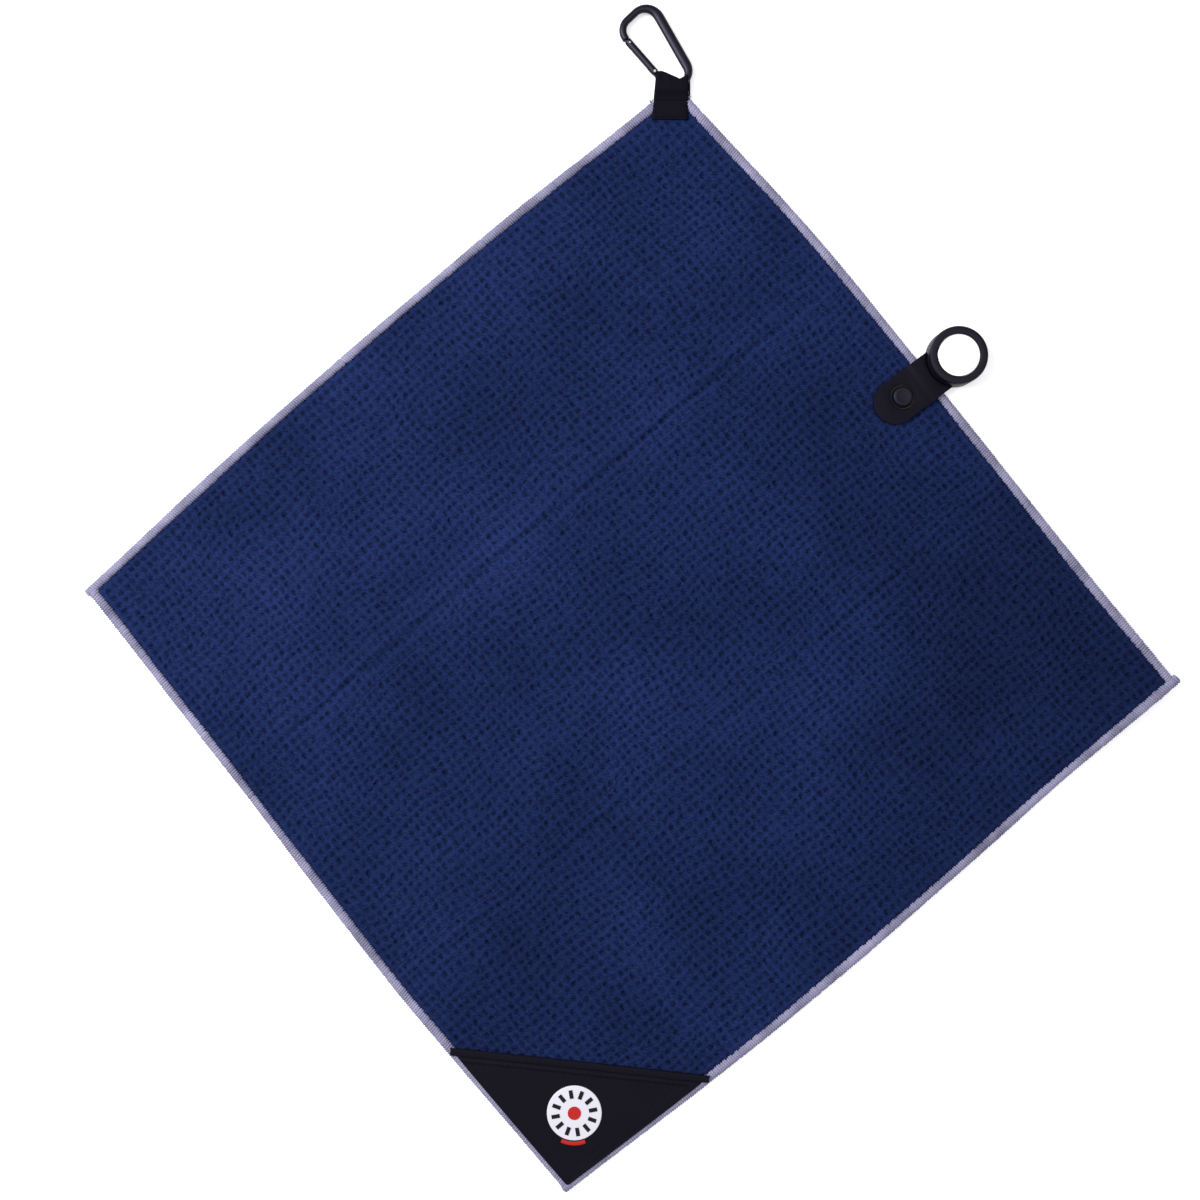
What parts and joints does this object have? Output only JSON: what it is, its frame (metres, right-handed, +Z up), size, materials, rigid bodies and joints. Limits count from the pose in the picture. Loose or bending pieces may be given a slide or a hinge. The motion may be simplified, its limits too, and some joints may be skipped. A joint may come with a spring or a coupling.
{
  "type": "golf towel",
  "caption": "Square waffle-weave golf towel with an overlocked edge, a carabiner on a webbing loop, a magnetic strap clip and a corner pocket.",
  "frame": {"origin": "middle of the towel on its underside, on the surface that it lies on", "axes": "+Z up through the towel's face, +Y from the pocket's corner to the loop's corner, +X to the right-hand corner"},
  "size_m": [0.5742, 0.628, 0.0128],
  "materials": {
    "navy_cloth": "waffle weave",
    "grey_thread": "overlocked",
    "black_webbing": "woven",
    "black_thread": "twisted",
    "pocket_cloth": "smooth",
    "black_anodised": "anodised",
    "steel": "satin",
    "strap_rubber": "matte",
    "puck_rubber": "satin",
    "black_acetal": "moulded",
    "nickel": "polished",
    "white_print": "printed",
    "black_print": "printed",
    "red_print": "printed"
  },
  "bodies": {
    "middle_third": {"cloth_middle_third": "navy_cloth", "edging_middle_third": "grey_thread", "clip_back_strap": "strap_rubber", "button_head": "black_acetal", "button_post": "black_acetal", "towel_eyelet": "steel", "puck_housing": "puck_rubber", "steel_cup": "steel", "magnet_disc": "nickel", "puck_base_cover": "puck_rubber"},
    "loop_third": {"cloth_loop_third": "navy_cloth", "edging_loop_third": "grey_thread", "webbing_front": "black_webbing", "webbing_back": "black_webbing", "loop_stitches": "black_thread"},
    "pocket_third": {"cloth_pocket_third": "navy_cloth", "edging_pocket_third": "grey_thread", "pocket_panel": "pocket_cloth", "pocket_hem": "pocket_cloth", "pocket_stitches": "black_thread", "badge_disc": "white_print", "badge_marks": "black_print", "badge_dot": "red_print", "badge_bar": "red_print"},
    "loop_eye": {"webbing_eye": "black_webbing"},
    "carabiner": {"carabiner_frame": "black_anodised", "gate_rivet": "steel"},
    "gate": {"carabiner_gate": "black_anodised", "gate_latch_pin": "steel", "gate_spring": "steel", "gate_plunger": "steel"},
    "clip_flap": {"clip_flap": "strap_rubber", "button_seat_ring": "black_acetal"}
  },
  "joints": [
    {"name": "loop_third_fold", "type": "hinge", "parent": "middle_third", "child": "loop_third", "pos_m": [-0.05303, 0.05303, 0.0036], "axis": [0.7071, 0.7071, 0], "range_deg": [0, 145]},
    {"name": "pocket_third_fold", "type": "hinge", "parent": "middle_third", "child": "pocket_third", "pos_m": [0.04702, -0.04702, 0.0036], "axis": [0.7071, 0.7071, 0], "range_deg": [-145, 0]},
    {"name": "loop_flex", "type": "hinge", "parent": "loop_third", "child": "loop_eye", "pos_m": [-0.00238, 0.28755, 0.0029], "axis": [-0.9959, -0.0906, 0], "range_deg": [-90, 45]},
    {"name": "carabiner_swivel", "type": "hinge", "parent": "loop_eye", "child": "carabiner", "pos_m": [-0.0015, 0.3002, 0.0034], "axis": [0, 0, 1], "range_deg": [-110, 45]},
    {"name": "gate_hinge", "type": "hinge", "parent": "carabiner", "child": "gate", "pos_m": [-0.01151, 0.29869, 0.0034], "axis": [0, 0, -1], "range_deg": [0, 30], "stiffness_Nm_per_rad": 0.03, "springref_deg": -5.73},
    {"name": "clip_flap_hinge", "type": "hinge", "parent": "middle_third", "child": "clip_flap", "pos_m": [0.14812, 0.15186, 0.005], "axis": [0.6691, -0.7431, 0], "range_deg": [-90, 0]}
  ]
}
